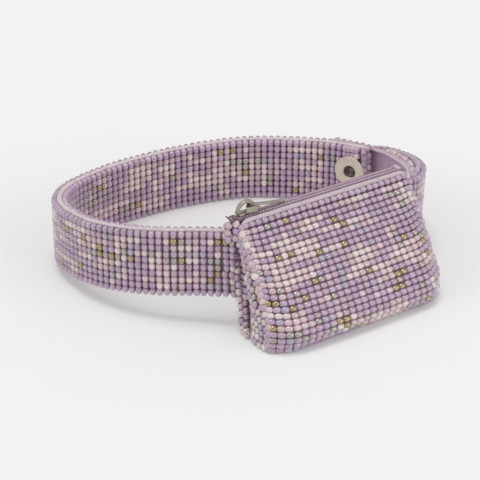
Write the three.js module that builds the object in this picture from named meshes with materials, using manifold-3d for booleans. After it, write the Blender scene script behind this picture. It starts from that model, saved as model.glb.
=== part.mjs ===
// Beaded wristlet: a small wedge-shaped zip pouch of seed beads on a beaded wrist strap with a press-stud.
// Millimetres, +Z up. The zip runs along X, the pouch's beaded front looks to -Y,
// and the origin is in the middle of the pouch's flat base.
import * as THREE from 'three';
import Module from 'manifold-3d';

const wasm = await Module();
wasm.setup();

// Beads and clearances
const beadColumn = 3.0;
const pouchRow = 2.6;
const beadRise = 0.8;
const seat = 0.2;
const endFit = 0.5;
const liningFit = 0.5;

// Pouch
const pouchHalfWidth = 41;
const leftFlare = 2.2;
const rightFlare = 1.0;
const mouthHeight = 46.8;
const backMouthDrop = 1.9;
const panelThickness = 1.6;
const baseFront = -13.8;
const baseBack = 9;
const frontMouthY = 12.8;
const frontKnee = { y: -8.4, z: 21.5 };
const frontShoulder = { y: -16.2, z: 7 };
const backShoulder = { y: 11.4, z: 5 };
const backMouthY = 19.8;
const frontFullness = 1.6;
const frontTurn = 6.2;
const backTurn = 2;
const turnFrom = 0.74;
const baseBlend = 0.07;
const bentMargin = 0.1;
const gussetFold = 5.5;
const gussetLevels = 15;
const liningThickness = 0.5;
const liningSideGap = 4.7;

// Zip
const zipY = (frontMouthY + backMouthY) / 2;
const bindingWidth = 1.4;
const bindingHeight = 2.0;
const tapeThickness = 0.5;
const tapeDrop = 0.6;
const coilPitch = 1.4;
const coilHeight = 1.6;
const coilWidth = 1.45;
const coilGap = 1.1;
const zipEndInset = 1.4;
const zipOverhang = 2.0;
const tapeEnd = 1.2;
const stopLength = 1.8;

// Slider and pull
const sliderLength = 12.4;
const sliderWidth = 6.6;
const plateThickness = 1.0;
const lowerPlateThickness = 0.7;
const sliderClearance = 0.35;
const neckWidth = coilGap - 0.5;
const neckLength = 3;
const crownLength = 9;
const crownRise = 5.6;
const crownWire = 1.5;
const crownWidth = 1.9;
const pullLength = 17.4;
const pullThickness = 1.3;
const pullWidth = 2.2;
const eyeLength = 6.2;
const eyeWidth = 5.2;
const eyeBar = 1.2;
const pivotForward = 0.8;
const pivotRise = 2.4;
const pullDroop = THREE.MathUtils.degToRad(9.5);

// Strap
const strapRows = 10;
const strapHeight = 29;
const strapCore = 4.4;
const strapSeamLean = 4;
const strapStart = new THREE.Vector3(-pouchHalfWidth - 1.9, 17.8, 13.8);
const strapRoute = [
  strapStart,
  new THREE.Vector3(-52, 26.6, 13),
  new THREE.Vector3(-62.6, 36.4, 11.8),
  new THREE.Vector3(-73.1, 51.8, 9.5),
  new THREE.Vector3(-78.8, 71.1, 6.5),
  new THREE.Vector3(-77.4, 95, 3.5),
  new THREE.Vector3(-65.8, 110.6, 0.8),
  new THREE.Vector3(-45.5, 117.8, 0),
  new THREE.Vector3(-21.5, 118.9, 0),
  new THREE.Vector3(2.5, 116, 0),
  new THREE.Vector3(26.2, 108.6, 0),
  new THREE.Vector3(42.7, 96.4, 0.4),
  new THREE.Vector3(54.8, 81.4, 1.7),
  new THREE.Vector3(63, 66.2, 2.6),
];

// Tab with the socket half of the press-stud
const tabCore = 1.8;
const tabLiningThickness = 0.7;
const tabLayerGap = 0.3;
const tabLiningSag = 1.1;
const tabBase = 0.4;
const tabOverlap = 19;
const tabRouteStart = [
  new THREE.Vector3(pouchHalfWidth + 1.2, 16.4, 13.2),
  new THREE.Vector3(52.3, 20, 10.5),
  new THREE.Vector3(61.6, 28.7, 8),
  new THREE.Vector3(68.2, 39.9, 4.8),
  new THREE.Vector3(71.6, 51.3, 2.3),
  new THREE.Vector3(71.8, 61.3, 1),
];

// Press-stud
const snapFromEnd = 9.4;
const snapHeight = 15.5;
const flangeRadius = 7.4;
const flangeThickness = 1.1;
const flangeHole = 2.8;
const studRadius = 3.8;
const studRise = 1.2;
const socketRadius = 6;
const socketThickness = 1.2;
const snapGap = 2.1;
const snapSeat = 0.45;
const capRadius = 6.2;
const capThickness = 1.3;

// Finishes
function finish(color, roughness, metalness) {
  return new THREE.MeshStandardMaterial({ color, roughness, metalness });
}
const lilacBeads = finish(0xb296ba, 0.25, 0.1);
const lilacFabric = finish(0xa287a1, 0.9, 0);
const paleTrim = finish(0xcdc3c8, 0.85, 0);
const coilNylon = finish(0x9c7796, 0.5, 0);
const nickel = finish(0xbab2a6, 0.3, 0.9);
const greyMetal = finish(0xb8b2a8, 0.45, 0.7);

// A mesh with shared corners from points and index triples, turned so that its faces look outwards
function solidFrom(points, triangles) {
  let volume = 0;
  for (const [a, b, c] of triangles) {
    volume += points[a].dot(new THREE.Vector3().crossVectors(points[b], points[c]));
  }
  const ordered = volume < 0 ? triangles.map(([a, b, c]) => [a, c, b]) : triangles;
  const geometry = new THREE.BufferGeometry();
  const positions = points.flatMap((point) => [point.x, point.y, point.z]);
  geometry.setAttribute('position', new THREE.Float32BufferAttribute(positions, 3));
  geometry.setIndex(ordered.flat());
  geometry.computeVertexNormals();
  return geometry;
}

function steps(last, stride = 1) {
  const list = [];
  for (let step = 0; step < last; step += stride) {
    list.push(step);
  }
  list.push(last);
  return list;
}

// One face of a sheet: corners on a grid of columns and rows, with a bead's peak in each cell that has one
function layFace(points, triangles, face) {
  const corner = new Map();
  const key = (column, row) => `${column},${row}`;
  for (const column of face.columns) {
    for (const row of face.rows) {
      corner.set(key(column, row), points.length);
      points.push(face.at(column, row));
    }
  }
  for (let c = 0; c + 1 < face.columns.length; c += 1) {
    for (let r = 0; r + 1 < face.rows.length; r += 1) {
      const a = corner.get(key(face.columns[c], face.rows[r]));
      const b = corner.get(key(face.columns[c + 1], face.rows[r]));
      const d = corner.get(key(face.columns[c + 1], face.rows[r + 1]));
      const e = corner.get(key(face.columns[c], face.rows[r + 1]));
      const peak = face.peak ? face.peak(face.columns[c], face.rows[r]) : null;
      if (peak) {
        const top = points.length;
        points.push(peak);
        triangles.push([a, b, top], [b, d, top], [d, e, top], [e, a, top]);
      } else {
        triangles.push([a, b, d], [a, d, e]);
      }
    }
  }
  return (column, row) => corner.get(key(column, row));
}

// The strip between two edges whose corners need not pair up
function stitch(triangles, first, second) {
  let i = 0;
  let j = 0;
  while (i + 1 < first.length || j + 1 < second.length) {
    const stepFirst = j + 1 >= second.length
      || (i + 1 < first.length && first[i + 1].at <= second[j + 1].at);
    if (stepFirst) {
      triangles.push([first[i].index, second[j].index, first[i + 1].index]);
      i += 1;
    } else {
      triangles.push([first[i].index, second[j].index, second[j + 1].index]);
      j += 1;
    }
  }
}

// A closed sheet from an outer and an inner face that share their outline
function sheet(outer, inner) {
  const points = [];
  const triangles = [];
  const outerCorner = layFace(points, triangles, outer);
  const innerTriangles = [];
  const innerCorner = layFace(points, innerTriangles, inner);
  triangles.push(...innerTriangles.map((triangle) => [triangle[0], triangle[2], triangle[1]]));
  const columns = outer.columns.at(-1);
  const rows = outer.rows.at(-1);
  const alongColumns = (face, corner, row) => face.columns.map((at) => ({ at, index: corner(at, row) }));
  const alongRows = (face, corner, column) => face.rows.map((at) => ({ at, index: corner(column, at) }));
  stitch(triangles, alongColumns(outer, outerCorner, 0), alongColumns(inner, innerCorner, 0));
  stitch(triangles, alongColumns(inner, innerCorner, rows), alongColumns(outer, outerCorner, rows));
  stitch(triangles, alongRows(inner, innerCorner, 0), alongRows(outer, outerCorner, 0));
  stitch(triangles, alongRows(outer, outerCorner, columns), alongRows(inner, innerCorner, columns));
  return solidFrom(points, triangles);
}

// Geometry to a manifold solid and back, for the pieces that are cast in one
function toSolid(geometry) {
  const source = geometry.index ? geometry.toNonIndexed() : geometry;
  const position = source.getAttribute('position');
  const seen = new Map();
  const vertices = [];
  const triangles = [];
  for (let i = 0; i < position.count; i += 1) {
    const point = [position.getX(i), position.getY(i), position.getZ(i)];
    const name = point.map((value) => Math.round(value * 1e5) + 0).join(' ');
    if (!seen.has(name)) {
      seen.set(name, vertices.length / 3);
      vertices.push(...point);
    }
    triangles.push(seen.get(name));
  }
  const mesh = new wasm.Mesh({
    numProp: 3,
    vertProperties: new Float32Array(vertices),
    triVerts: new Uint32Array(triangles),
  });
  return new wasm.Manifold(mesh);
}

function fromSolid(solid) {
  const mesh = solid.getMesh();
  const geometry = new THREE.BufferGeometry();
  geometry.setAttribute('position', new THREE.Float32BufferAttribute(mesh.vertProperties, 3));
  geometry.setIndex(Array.from(mesh.triVerts));
  geometry.computeVertexNormals();
  return geometry;
}

function box(x0, x1, y0, y1, z0, z1) {
  const geometry = new THREE.BoxGeometry(x1 - x0, y1 - y0, z1 - z0);
  geometry.translate((x0 + x1) / 2, (y0 + y1) / 2, (z0 + z1) / 2);
  return geometry;
}

// A band standing on its edge along a route whose heights are those of its lower edge
class Band {
  constructor(route, side) {
    this.side = side;
    this.curve = new THREE.CatmullRomCurve3(route, false, 'centripetal');
    this.curve.arcLengthDivisions = 800;
    this.length = this.curve.getLength();
    this.columns = Math.round(this.length / beadColumn);
  }

  // A point at a share of the band's length, pushed outwards from the loop and up from the lower edge
  at(share, outwards, up) {
    const point = this.curve.getPointAt(share);
    const tangent = this.curve.getTangentAt(share);
    const normal = new THREE.Vector3(-tangent.y, tangent.x, 0).normalize();
    point.setZ(Math.max(0, point.z) + up);
    return point.addScaledVector(normal, outwards * this.side);
  }

  // How far a cell's middle is from a point on the band, along and up the band
  distance(share, up, otherShare, otherUp) {
    return Math.hypot((share - otherShare) * this.length, up - otherUp);
  }
}

const strap = new Band(strapRoute, 1);
const snapShare = 1 - snapFromEnd / strap.length;
const strapRow = strapHeight / strapRows;

// Strap band: beads woven on both faces round a soft core, ten rows high
function strapGeometry() {
  const half = strapCore / 2;
  const seam = strap.curve.getTangentAt(0).setZ(0).normalize();
  const place = (outwards) => (column, row) => {
    const lean = strapSeamLean * Math.max(0, 1 - column) * (1 - row / strapRows);
    return strap.at(column / strap.columns, outwards, row * strapRow).addScaledVector(seam, -lean);
  };
  const underFlange = (column, row) => {
    const share = (column + 0.5) / strap.columns;
    return strap.distance(share, (row + 0.5) * strapRow, snapShare, snapHeight) < flangeRadius + 1.6;
  };
  const outer = {
    columns: steps(strap.columns),
    rows: steps(strapRows),
    at: place(half),
    peak: (column, row) => (underFlange(column, row) ? null
      : place(half + beadRise)(column + 0.5, row + 0.5)),
  };
  const inner = {
    columns: steps(strap.columns, 0.5),
    rows: [0, strapRows],
    at: (column, row) => {
      const ridge = column % 1 !== 0 && strap.distance(column / strap.columns, 0, snapShare, 0) > flangeRadius + 1;
      return place(-half - (ridge ? beadRise : 0))(column, row);
    },
  };
  return sheet(outer, inner);
}

// Tab: the strap's short end, beaded outside and lined inside, that closes over the strap's free end
const tabStandOff = strapCore / 2 + snapGap + tabLiningThickness + tabLayerGap + tabCore / 2;
const tabRouteEnd = [0, 0.5, 1].map((part) => {
  const share = 1 - (part * tabOverlap) / strap.length;
  const point = strap.at(share, tabStandOff, 0);
  return point.setZ(tabBase);
});
const tab = new Band([...tabRouteStart, ...tabRouteEnd], -1);
const tabSnapShare = 1 - (tabOverlap - snapFromEnd) / tab.length;
const tabSnapHeight = snapHeight + strap.curve.getPointAt(snapShare).z - tabBase;

function tabGeometry() {
  const half = tabCore / 2;
  const place = (outwards) => (column, row) => tab.at(column / tab.columns, outwards, row * strapRow);
  const underCap = (column, row) => {
    const share = (column + 0.5) / tab.columns;
    return tab.distance(share, (row + 0.5) * strapRow, tabSnapShare, tabSnapHeight) < capRadius + 1.6;
  };
  const outer = {
    columns: steps(tab.columns),
    rows: steps(strapRows),
    at: place(half),
    peak: (column, row) => (underCap(column, row) ? null
      : place(half + beadRise)(column + 0.5, row + 0.5)),
  };
  const inner = { columns: steps(tab.columns), rows: [0, strapRows], at: place(-half) };
  return sheet(outer, inner);
}

// The tab's lining follows it inside, and takes the short way round the bend
function tabLiningPlace(depth, column, row) {
  const share = column / tab.columns;
  const sag = tabLiningSag * Math.sin(Math.PI * Math.min(1, share / 0.85)) ** 2;
  return tab.at(share, -tabCore / 2 - tabLayerGap - sag - depth, row * strapRow);
}

function tabLiningGeometry() {
  const columns = steps(tab.columns);
  const rows = [0, strapRows];
  const outer = { columns, rows, at: (column, row) => tabLiningPlace(0, column, row) };
  const inner = { columns, rows, at: (column, row) => tabLiningPlace(tabLiningThickness, column, row) };
  return sheet(outer, inner);
}

// The pouch's section: front panel, flat base and back panel, as one line from mouth to mouth
const sectionCurve = new THREE.CatmullRomCurve3([
  new THREE.Vector3(0, frontMouthY, mouthHeight),
  new THREE.Vector3(0, frontKnee.y, frontKnee.z),
  new THREE.Vector3(0, frontShoulder.y, frontShoulder.z),
  new THREE.Vector3(0, baseFront, 0),
  new THREE.Vector3(0, 0, 0),
  new THREE.Vector3(0, baseBack, 0),
  new THREE.Vector3(0, backShoulder.y, backShoulder.z),
  new THREE.Vector3(0, backMouthY, mouthHeight - backMouthDrop),
], false, 'centripetal');
const sectionRows = Math.round(sectionCurve.getLength() / pouchRow);

function sectionPoint(row, depth) {
  const share = row / sectionRows;
  const point = sectionCurve.getPointAt(share);
  const tangent = sectionCurve.getTangentAt(share);
  const inward = new THREE.Vector3(0, -tangent.z, tangent.y);
  point.addScaledVector(inward, depth);
  return point.setZ(Math.max(0, depth, point.z));
}

function halfWidthAt(z, side) {
  const flare = side < 0 ? leftFlare : rightFlare;
  return pouchHalfWidth + flare * (1 - Math.min(1, z / mouthHeight)) ** 2;
}

// How far along Y the stuffed wall stands off its section: full in the middle, turned in at the ends
function wallShift(across, row) {
  const facing = Math.max(-1, Math.min(1, (0.5 - row / sectionRows) / baseBlend));
  const width = 1 - Math.min(1, sectionPoint(row, 0).z / mouthHeight) ** 2;
  const turned = Math.max(0, (Math.abs(across) - turnFrom) / (1 - turnFrom)) ** 2;
  const outwards = facing > 0 ? frontFullness * (1 - across ** 2) - frontTurn * turned : -backTurn * turned;
  return -facing * width * outwards;
}

// A point of the pouch's wall, from -1 at its left end to 1 at its right end
function wallPoint(across, row, depth) {
  const point = sectionPoint(row, depth);
  const half = halfWidthAt(sectionPoint(row, 0).z, across);
  return new THREE.Vector3(half * across, point.y + wallShift(across, row), point.z);
}

// Pouch shell: front, base and back woven in one piece
function pouchShellGeometry() {
  const columns = Math.round((2 * pouchHalfWidth) / beadColumn);
  const place = (depth) => (column, row) => wallPoint((2 * column) / columns - 1, row, depth);
  const middle = Math.round(columns / 2);
  const bent = (column) => Math.abs(column - middle) * 2 > (turnFrom - bentMargin) * columns;
  const outer = {
    columns: steps(columns),
    rows: steps(sectionRows),
    at: place(0),
    peak: (column, row) => {
      const low = sectionPoint(row + 0.5, 0).z < 2 * beadRise;
      return low ? null : place(-beadRise)(column + 0.5, row + 0.5);
    },
  };
  const inner = {
    columns: steps(columns).filter((column) => bent(column) || column === middle),
    rows: steps(sectionRows),
    at: place(panelThickness),
  };
  return sheet(outer, inner);
}

// Where the inside of the pouch's front or back wall is at a height, at a share across
function wallInside(z, depth, across, fromRow, toRow) {
  let row = fromRow;
  const stride = Math.sign(toRow - fromRow) * 0.25;
  while (Math.abs(row - toRow) > Math.abs(stride) && sectionPoint(row, depth).z < z) {
    row += stride;
  }
  return sectionPoint(row, depth).y + wallShift(across, row);
}

// A sheet across the pouch's end between its walls, folded inwards down its middle. Further in than
// flatFrom, the faces that it stands between are flat
function endSheet(side, inset, wallDepth, thickness, rise, flatFrom) {
  const bottom = wallDepth + endFit;
  const top = mouthHeight - wallDepth - endFit;
  const across = 4;
  const place = (depth) => (column, row) => {
    const z = bottom + ((top - bottom) * row) / gussetLevels;
    const half = halfWidthAt(z, side);
    const edge = 1 - Math.min(inset + depth, flatFrom) / half;
    const front = wallInside(z, wallDepth, edge, sectionRows / 2, 0) + endFit;
    const back = wallInside(z, wallDepth, edge, sectionRows / 2, sectionRows) - endFit;
    const share = column / across;
    const fold = gussetFold * Math.sin(Math.PI * (0.12 + 0.86 * (row / gussetLevels))) ** 1.2;
    const inwards = fold * (1 - Math.abs(2 * share - 1));
    return new THREE.Vector3(side * (half - inset - inwards - depth), front + (back - front) * share, z);
  };
  const outer = {
    columns: steps(across),
    rows: steps(gussetLevels),
    at: place(0),
    peak: (column, row) => (rise > 0 ? place(-rise)(column + 0.5, row + 0.5) : null),
  };
  const inner = { columns: steps(across), rows: steps(gussetLevels), at: place(thickness) };
  return sheet(outer, inner);
}

function gussetGeometry(side) {
  return endSheet(side, 0.9, panelThickness, panelThickness, 0.6, pouchHalfWidth);
}

// Inner bag: a thin lining down the front, over the base and up the back, with its two ends
const liningOutside = panelThickness + liningFit;
const liningInside = liningOutside + liningThickness;

function pouchLiningGeometry() {
  const firstRow = 1;
  const rows = steps(sectionRows - 2 * firstRow);
  const place = (depth) => (column, row) => {
    const side = 2 * column - 1;
    const half = halfWidthAt(sectionPoint(row + firstRow, 0).z, side);
    return wallPoint(side * (1 - liningSideGap / half), row + firstRow, depth);
  };
  const columns = [0, 1];
  return sheet({ columns, rows, at: place(liningOutside) }, { columns, rows, at: place(liningInside) });
}

function liningEndGeometry(side) {
  return endSheet(side, liningSideGap + liningThickness, liningInside, liningThickness, 0, liningSideGap);
}

// A bar of rounded section along X
function roundedBar(x0, x1, y0, y1, z0, z1, radius) {
  const outline = new THREE.Shape();
  outline.moveTo(y0 + radius, z0);
  outline.lineTo(y1 - radius, z0);
  outline.absarc(y1 - radius, z0 + radius, radius, -Math.PI / 2, 0, false);
  outline.absarc(y1 - radius, z1 - radius, radius, 0, Math.PI / 2, false);
  outline.absarc(y0 + radius, z1 - radius, radius, Math.PI / 2, Math.PI, false);
  outline.absarc(y0 + radius, z0 + radius, radius, Math.PI, 1.5 * Math.PI, false);
  const geometry = new THREE.ExtrudeGeometry(outline, {
    depth: x1 - x0,
    bevelEnabled: false,
    curveSegments: 4,
  });
  geometry.rotateY(Math.PI / 2);
  geometry.rotateX(Math.PI / 2);
  geometry.translate(x0, 0, 0);
  return fromSolid(toSolid(geometry));
}

// Mouth bindings: folded fabric over the pouch's two upper edges
const bindingBottom = mouthHeight + seat;
const bindingTop = bindingBottom + bindingHeight;
const frontBindingInside = frontMouthY + bindingWidth / 2;
const backBindingInside = backMouthY - bindingWidth / 2;

function bindingGeometry(inside, outwards, drop) {
  const outside = inside + outwards * bindingWidth;
  return roundedBar(-pouchHalfWidth, pouchHalfWidth, Math.min(inside, outside), Math.max(inside, outside),
    bindingBottom - drop, bindingTop - drop, bindingWidth * 0.45);
}

// Zip tapes, from the bindings to the coils: the front one lies flat, the back one drops behind its coil
const zipStart = -pouchHalfWidth - zipOverhang;
const tapeTop = bindingTop - tapeDrop;
const tapeBottom = tapeTop - tapeThickness;
const backTapeBottom = bindingBottom - backMouthDrop + seat;
const coilOutside = coilGap / 2 + coilWidth;

function tapeGeometry(inside, outwards, bottom) {
  const fromY = inside - outwards * seat;
  const toY = zipY + outwards * (coilOutside + seat);
  return box(zipStart - tapeEnd, pouchHalfWidth - 0.4, Math.min(fromY, toY), Math.max(fromY, toY), bottom, tapeTop);
}

// Zip coils: a ridge for each turn, side by side with room for the slider's neck
const coilStart = zipStart + stopLength + seat;
const coilEnd = pouchHalfWidth - zipEndInset - stopLength - seat;
const coilTop = tapeTop + (coilHeight - tapeThickness) / 2;
const coilBottom = coilTop - coilHeight;

function coilGeometry(outwards) {
  const turns = Math.round((coilEnd - coilStart) / coilPitch);
  const pitch = (coilEnd - coilStart) / turns;
  const outline = new THREE.Shape();
  outline.moveTo(coilStart, coilBottom);
  outline.lineTo(coilEnd, coilBottom);
  for (let turn = turns; turn > 0; turn -= 1) {
    outline.lineTo(coilStart + pitch * turn, coilTop - coilHeight * 0.3);
    outline.lineTo(coilStart + pitch * (turn - 0.5), coilTop);
  }
  outline.lineTo(coilStart, coilTop - coilHeight * 0.3);
  const geometry = new THREE.ExtrudeGeometry(outline, { depth: coilWidth, bevelEnabled: false });
  geometry.rotateX(Math.PI / 2);
  const near = outwards > 0 ? coilGap / 2 : -coilOutside;
  geometry.translate(0, zipY + near + coilWidth, 0);
  return fromSolid(toSolid(geometry));
}

// Stops at the two ends of the coils
function stopGeometry(x0) {
  const half = coilOutside - 0.2;
  return roundedBar(x0, x0 + stopLength, zipY - half, zipY + half, coilBottom, coilTop + 0.3, 0.5);
}
const bottomStopStart = pouchHalfWidth - zipEndInset - stopLength;

// Slider: two plates held by a neck, side flanges over the coils and a crown on top, cast in one
const sliderRear = coilStart + seat;
const topPlate = coilTop + sliderClearance;
const topPlateTop = topPlate + plateThickness;
const lowerPlateTop = coilBottom - sliderClearance;
const crownMiddle = sliderRear + crownLength / 2;

function sliderGeometry() {
  const half = sliderWidth / 2;
  const front = sliderRear + sliderLength;
  const slope = 1.6;
  const plate = new THREE.Shape();
  plate.moveTo(sliderRear, topPlate);
  plate.lineTo(front, topPlate);
  plate.lineTo(front, topPlate + plateThickness * 0.4);
  plate.lineTo(front - slope, topPlateTop);
  plate.lineTo(sliderRear + slope * 0.4, topPlateTop);
  plate.lineTo(sliderRear, topPlate + plateThickness * 0.6);
  const top = new THREE.ExtrudeGeometry(plate, { depth: sliderWidth, bevelEnabled: false });
  top.rotateX(Math.PI / 2);
  top.translate(0, zipY + half, 0);
  const lowerHalf = coilOutside - 0.4;
  const lower = box(sliderRear, front, zipY - lowerHalf, zipY + lowerHalf,
    lowerPlateTop - lowerPlateThickness, lowerPlateTop);
  const neck = box(sliderRear + 1, sliderRear + 1 + neckLength, zipY - neckWidth / 2, zipY + neckWidth / 2,
    lowerPlateTop - 0.3, topPlate + 0.3);
  const arch = new THREE.Shape();
  const foot = crownLength / 2;
  arch.moveTo(-foot, -0.3);
  arch.bezierCurveTo(-foot - 0.3, crownRise * 1.35, foot + 0.3, crownRise * 1.35, foot, -0.3);
  arch.lineTo(foot - crownWire, -0.3);
  arch.bezierCurveTo(foot - crownWire, crownRise * 1.35 - crownWire * 1.35,
    -foot + crownWire, crownRise * 1.35 - crownWire * 1.35, -foot + crownWire, -0.3);
  const crown = new THREE.ExtrudeGeometry(arch, { depth: crownWidth, bevelEnabled: false, curveSegments: 16 });
  crown.rotateX(Math.PI / 2);
  crown.translate(crownMiddle, zipY + crownWidth / 2, topPlateTop);
  return fromSolid(toSolid(top).add(toSolid(lower)).add(toSolid(neck)).add(toSolid(crown)));
}

// Pull: a flat bar whose eye goes round the crown, lying along the zip
const pivotX = crownMiddle + pivotForward;
const pivotZ = topPlateTop + pivotRise;

function pullGeometry() {
  const outline = new THREE.Shape();
  const rear = -eyeBar / 2;
  const halfEye = eyeWidth / 2;
  const halfBar = pullWidth / 2;
  outline.moveTo(rear, -halfEye);
  outline.lineTo(rear + eyeLength - 2, -halfEye);
  outline.lineTo(rear + eyeLength + 0.6, -halfBar);
  outline.lineTo(pullLength, -halfBar);
  outline.lineTo(pullLength, halfBar);
  outline.lineTo(rear + eyeLength + 0.6, halfBar);
  outline.lineTo(rear + eyeLength - 2, halfEye);
  outline.lineTo(rear, halfEye);
  const hole = new THREE.Path();
  const halfHole = crownWidth / 2 + 0.45;
  hole.moveTo(rear + eyeBar, -halfHole);
  hole.lineTo(rear + eyeBar, halfHole);
  hole.lineTo(rear + eyeLength - 1.3, halfHole);
  hole.lineTo(rear + eyeLength - 1.3, -halfHole);
  outline.holes.push(hole);
  const geometry = new THREE.ExtrudeGeometry(outline, { depth: pullThickness, bevelEnabled: false });
  geometry.translate(0, 0, -pullThickness / 2);
  return fromSolid(toSolid(geometry));
}

// Press-stud pieces, turned on the snap's own axis: Z of each profile points out of the loop
function turned(profile) {
  const outline = profile.map(([radius, height]) => new THREE.Vector2(radius, height));
  outline.push(outline[0].clone());
  const geometry = new THREE.LatheGeometry(outline, 24);
  geometry.rotateX(Math.PI / 2);
  return fromSolid(toSolid(geometry));
}

function placeOnSnap(mesh, outwards) {
  const centre = strap.at(snapShare, outwards, snapHeight);
  const axis = strap.at(snapShare, 1, 0).sub(strap.at(snapShare, 0, 0));
  mesh.position.copy(centre);
  mesh.quaternion.setFromUnitVectors(new THREE.Vector3(0, 0, 1), axis);
}

// Flange of the post on the strap's inner face, with a rolled rim and the post's open eye
function flangeGeometry() {
  return turned([
    [flangeHole, -flangeThickness * 0.55],
    [flangeHole + 0.5, -flangeThickness],
    [flangeRadius - 0.7, -flangeThickness],
    [flangeRadius, -flangeThickness * 0.6],
    [flangeRadius - 0.3, 0],
    [flangeHole, 0],
  ]);
}

// Stud on the strap's outer face: a low waisted button that the socket grips
function studGeometry() {
  return turned([
    [1.2, 0],
    [studRadius, 0],
    [studRadius - 0.5, studRise * 0.45],
    [studRadius - 0.2, studRise * 0.8],
    [studRadius - 0.9, studRise],
    [1.2, studRise],
  ]);
}

// Socket on the tab's lining, open round the stud
function socketGeometry() {
  return turned([
    [studRadius + 0.3, -socketThickness],
    [socketRadius - 0.4, -socketThickness],
    [socketRadius, -socketThickness * 0.6],
    [socketRadius, 0],
    [studRadius + 0.3, 0],
  ]);
}

// Domed cap on the tab's outer face
function capGeometry() {
  const outline = new THREE.Shape();
  outline.moveTo(0.01, 0);
  outline.lineTo(capRadius - 0.3, 0);
  outline.quadraticCurveTo(capRadius, capThickness * 0.3, capRadius - 0.5, capThickness * 0.6);
  outline.quadraticCurveTo(capRadius * 0.5, capThickness * 1.05, 0.01, capThickness);
  const profile = outline.getPoints(4).map((point) => [point.x, point.y]);
  return turned(profile);
}

// Assembly
const group = new THREE.Group();
group.name = 'beaded_wristlet';

function place(parent, name, geometry, material) {
  const mesh = new THREE.Mesh(geometry, material);
  mesh.name = name;
  parent.add(mesh);
  return mesh;
}

const pouch = new THREE.Group();
pouch.name = 'pouch';
group.add(pouch);
place(pouch, 'pouch_shell', pouchShellGeometry(), lilacBeads);
place(pouch, 'left_gusset', gussetGeometry(-1), lilacBeads);
place(pouch, 'right_gusset', gussetGeometry(1), lilacBeads);
place(pouch, 'pouch_lining', pouchLiningGeometry(), lilacFabric);
place(pouch, 'lining_left_end', liningEndGeometry(-1), lilacFabric);
place(pouch, 'lining_right_end', liningEndGeometry(1), lilacFabric);
place(pouch, 'front_binding', bindingGeometry(frontBindingInside, -1, 0), paleTrim);
place(pouch, 'back_binding', bindingGeometry(backBindingInside, 1, backMouthDrop), paleTrim);
place(pouch, 'zip_tape_front', tapeGeometry(frontBindingInside, -1, tapeBottom), lilacFabric);
place(pouch, 'zip_tape_back', tapeGeometry(backBindingInside, 1, backTapeBottom), lilacFabric);
place(pouch, 'zip_coil_front', coilGeometry(-1), coilNylon);
place(pouch, 'zip_coil_back', coilGeometry(1), coilNylon);
place(pouch, 'top_stop', stopGeometry(zipStart), greyMetal);
place(pouch, 'bottom_stop', stopGeometry(bottomStopStart), greyMetal);

const slider = new THREE.Group();
slider.name = 'slider';
group.add(slider);
place(slider, 'zip_slider', sliderGeometry(), greyMetal);
const pull = place(slider, 'zip_pull', pullGeometry(), greyMetal);
pull.position.set(pivotX, zipY, pivotZ);
pull.rotation.y = pullDroop;

const wristLoop = new THREE.Group();
wristLoop.name = 'wrist_loop';
group.add(wristLoop);
place(wristLoop, 'strap_band', strapGeometry(), lilacBeads);
place(wristLoop, 'tab_band', tabGeometry(), lilacBeads);
place(wristLoop, 'tab_lining', tabLiningGeometry(), lilacFabric);
placeOnSnap(place(wristLoop, 'snap_flange', flangeGeometry(), nickel), -strapCore / 2 - snapSeat);
placeOnSnap(place(wristLoop, 'snap_stud', studGeometry(), nickel), strapCore / 2 + snapSeat);
placeOnSnap(place(wristLoop, 'snap_socket', socketGeometry(), nickel), strapCore / 2 + snapGap - snapSeat);
placeOnSnap(place(wristLoop, 'snap_cap', capGeometry(), nickel), tabStandOff + tabCore / 2 + snapSeat);

export default group;
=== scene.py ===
import bpy
import math
import random
from mathutils import Matrix, Vector, noise


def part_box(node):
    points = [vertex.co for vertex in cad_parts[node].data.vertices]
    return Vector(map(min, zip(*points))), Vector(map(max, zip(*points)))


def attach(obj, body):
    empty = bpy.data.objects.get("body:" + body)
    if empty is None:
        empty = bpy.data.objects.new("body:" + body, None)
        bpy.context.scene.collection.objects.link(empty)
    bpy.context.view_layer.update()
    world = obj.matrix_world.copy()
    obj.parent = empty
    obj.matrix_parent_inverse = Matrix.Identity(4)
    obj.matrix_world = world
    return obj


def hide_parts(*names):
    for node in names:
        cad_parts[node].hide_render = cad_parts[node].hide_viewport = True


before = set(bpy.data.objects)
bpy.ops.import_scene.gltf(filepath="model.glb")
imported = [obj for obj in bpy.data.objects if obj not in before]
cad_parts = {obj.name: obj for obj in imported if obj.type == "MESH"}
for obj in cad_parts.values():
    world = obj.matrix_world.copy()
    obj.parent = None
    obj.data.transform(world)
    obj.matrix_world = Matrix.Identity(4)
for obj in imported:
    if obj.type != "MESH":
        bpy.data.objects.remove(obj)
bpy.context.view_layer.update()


# Wrist strap: seed beads woven on both faces of a soft cotton core, ten rows high, with the beads' holes
# standing upright. It is sewn to the pouch's left side, runs round the loop and ends free by the tab.
MM = 0.001
BEAD_COLUMN = 3.0 * MM
BEAD_RADIUS = 1.46 * MM
BEAD_HALF_LENGTH = 1.5 * MM
STRAP_ROWS = 10
STRAP_HEIGHT = 29.0 * MM
STRAP_ROW = STRAP_HEIGHT / STRAP_ROWS
STRAP_CORE = 4.4 * MM
STRAP_BEAD_OFFSET = 2.0 * MM
STRAP_SEAM_LEAN = 4.0 * MM
STRAP_END_LEAN = 2.4 * MM
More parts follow.
